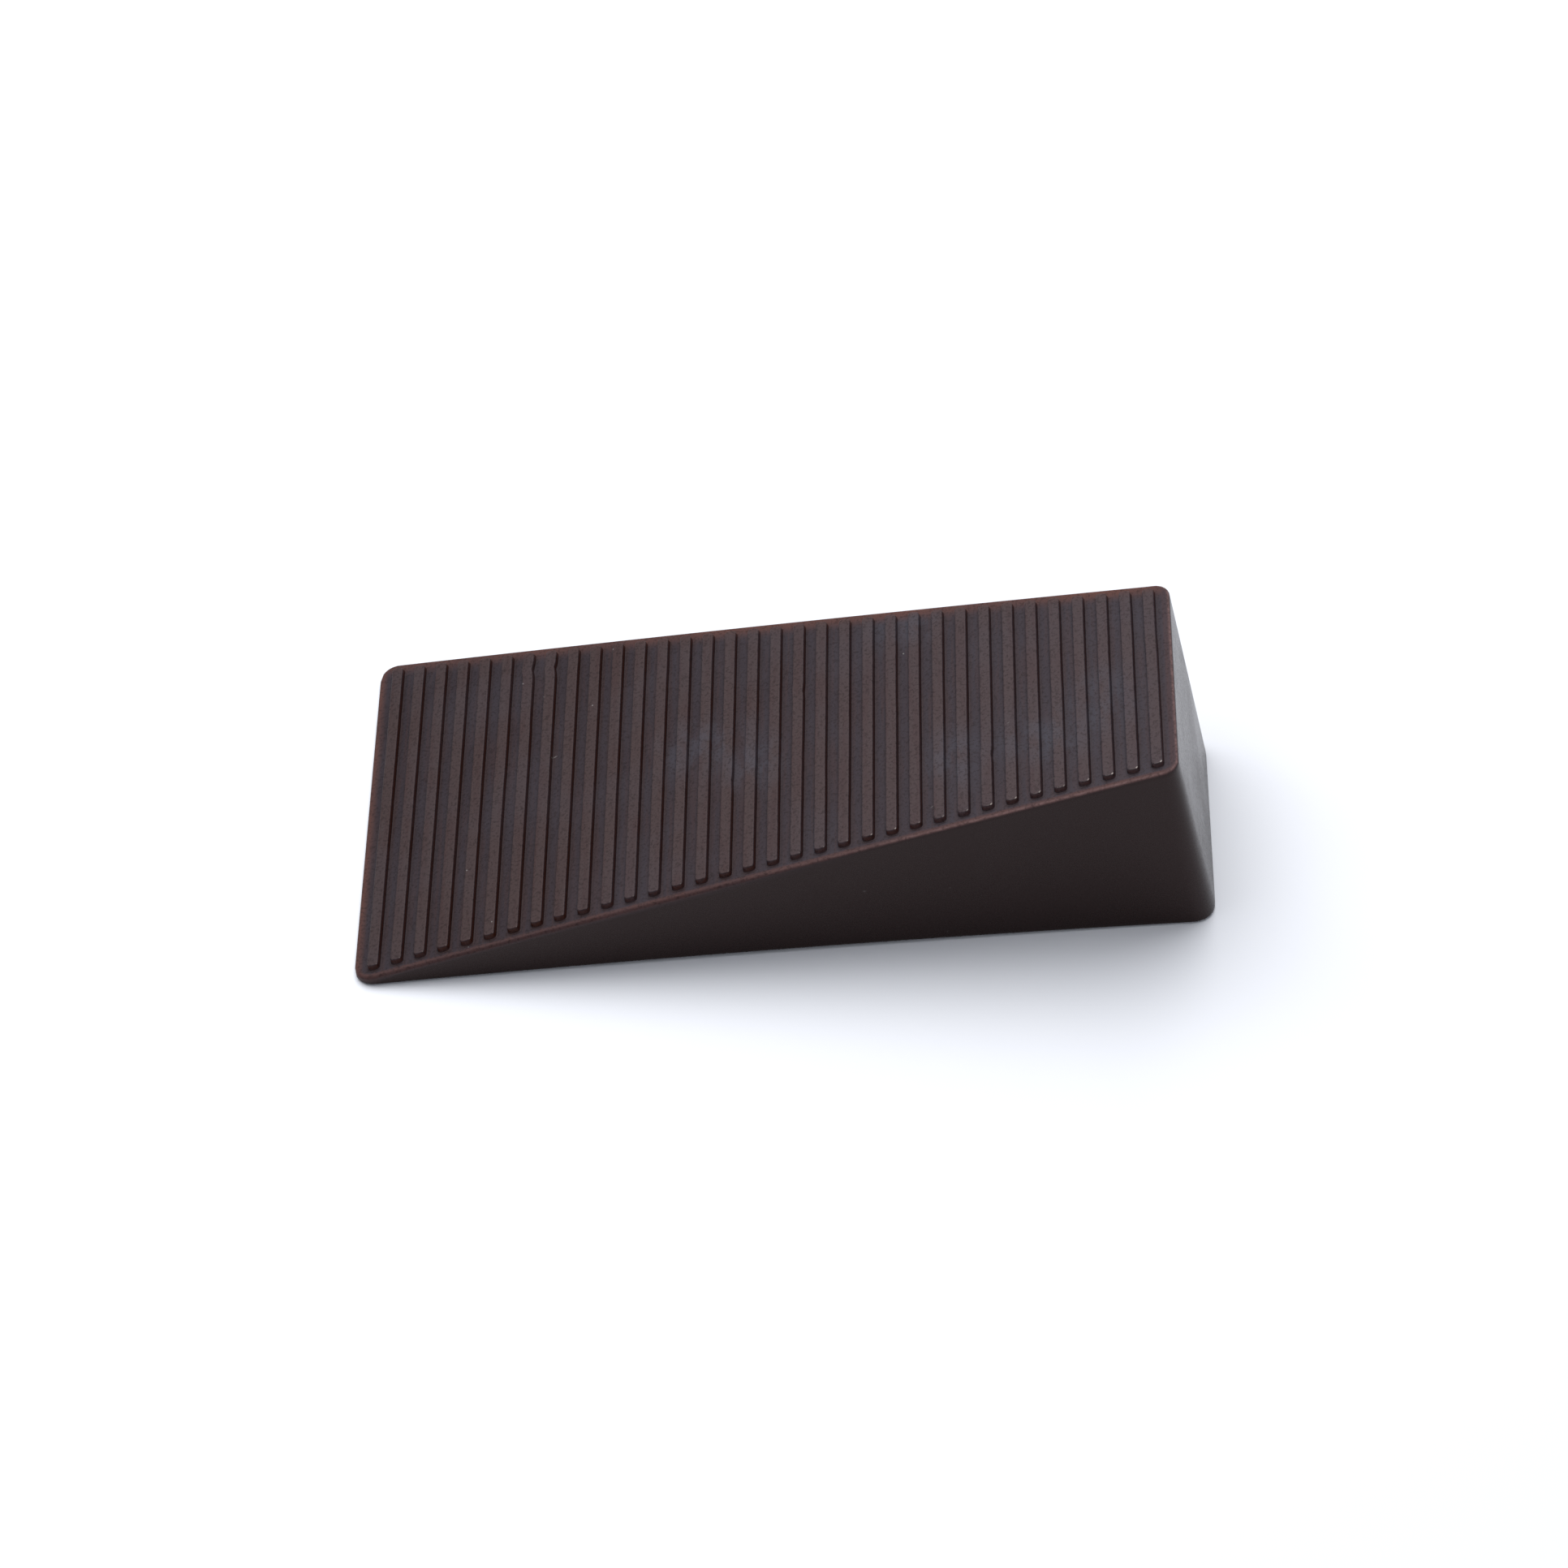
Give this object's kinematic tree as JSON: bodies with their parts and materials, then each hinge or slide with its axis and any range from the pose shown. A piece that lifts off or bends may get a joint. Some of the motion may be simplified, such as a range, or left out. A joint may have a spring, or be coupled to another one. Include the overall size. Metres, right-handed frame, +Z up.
{
  "type": "rubber wedge chock",
  "caption": "Solid moulded rubber wedge with a narrow tall heel, a wide thin toe and raised grip ribs across its ramp.",
  "frame": {"origin": "middle of the base's bounding box, on the floor", "axes": "+X from the thin toe to the tall heel, +Y across the wedge, +Z up from the base"},
  "size_m": [0.1208, 0.0594, 0.0331],
  "materials": {
    "brown_rubber": "matte"
  },
  "bodies": {
    "root": {"rubber_wedge": "brown_rubber"}
  },
  "joints": []
}
